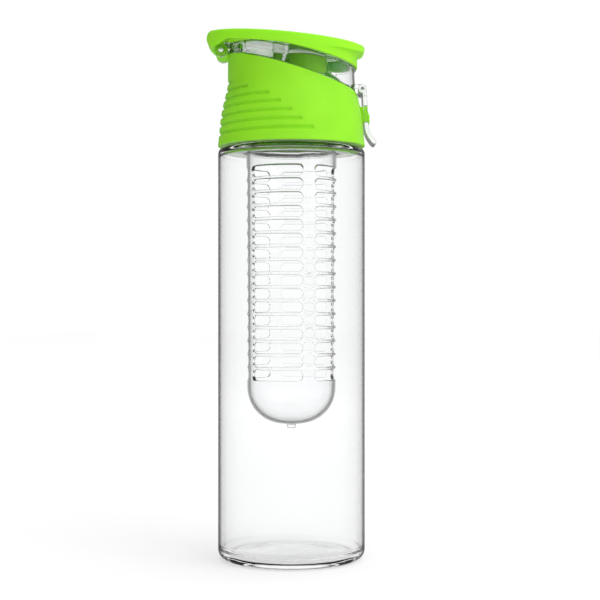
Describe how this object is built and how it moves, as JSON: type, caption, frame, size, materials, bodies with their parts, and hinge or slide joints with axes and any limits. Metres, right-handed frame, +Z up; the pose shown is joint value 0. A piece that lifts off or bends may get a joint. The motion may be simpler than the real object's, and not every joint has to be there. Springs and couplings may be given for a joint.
{
  "type": "fruit infuser water bottle",
  "caption": "Clear straight water bottle with a slotted fruit basket hanging from a screw lid, a ribbed grip sleeve and a latched flip-top over a spout.",
  "frame": {"origin": "on the floor under the bottle's axis, at the centre of the foot", "axes": "+Z up along the bottle's axis, +X towards the front latch, -X towards the hinge"},
  "size_m": [0.0828, 0.0722, 0.2574],
  "materials": {
    "clear_body": "clear polished",
    "clear_basket": "clear polished",
    "clear_lid": "clear polished",
    "lid_plastic": "satin moulded",
    "sleeve_skin": "soft-touch satin",
    "cover_skin": "soft-touch satin",
    "silicone": "translucent matte",
    "steel": "plain"
  },
  "bodies": {
    "bottle": {"bottle_body": "clear_body"},
    "gasket": {"lid_gasket": "silicone"},
    "lid": {"lid_core": "lid_plastic", "spout_deck": "lid_plastic", "grip_sleeve": "sleeve_skin", "basket_o_ring": "silicone"},
    "basket": {"infuser_basket": "clear_basket"},
    "flip_top": {"flip_dome": "clear_lid", "top_cover": "cover_skin", "spout_seal": "silicone", "vent_seal": "silicone", "hinge_pin": "steel", "latch_pin": "steel"},
    "latch": {"front_latch": "clear_lid"}
  },
  "joints": [
    {"name": "lid_rise", "type": "slide", "parent": "bottle", "child": "gasket", "axis": [0, 0, 1], "range_m": [0, 0.0075]},
    {"name": "lid_turn", "type": "hinge", "parent": "gasket", "child": "lid", "pos_m": [0, 0, 0.21], "axis": [0, 0, 1], "range_deg": [0, 450]},
    {"name": "flip_hinge", "type": "hinge", "parent": "lid", "child": "flip_top", "pos_m": [-0.0341, 0, 0.24823], "axis": [0, -1, 0], "range_deg": [0, 120]},
    {"name": "latch_hinge", "type": "hinge", "parent": "flip_top", "child": "latch", "pos_m": [0.03453, 0, 0.22934], "axis": [0, -1, 0], "range_deg": [0, 85]},
    {"name": "basket_pull", "type": "slide", "parent": "lid", "child": "basket", "axis": [0, 0, -1], "range_m": [0, 0.014]}
  ],
  "couplings": [
    {"joint": "lid_rise", "follows": "lid_turn", "m_per_rad": 0.00095493}
  ]
}
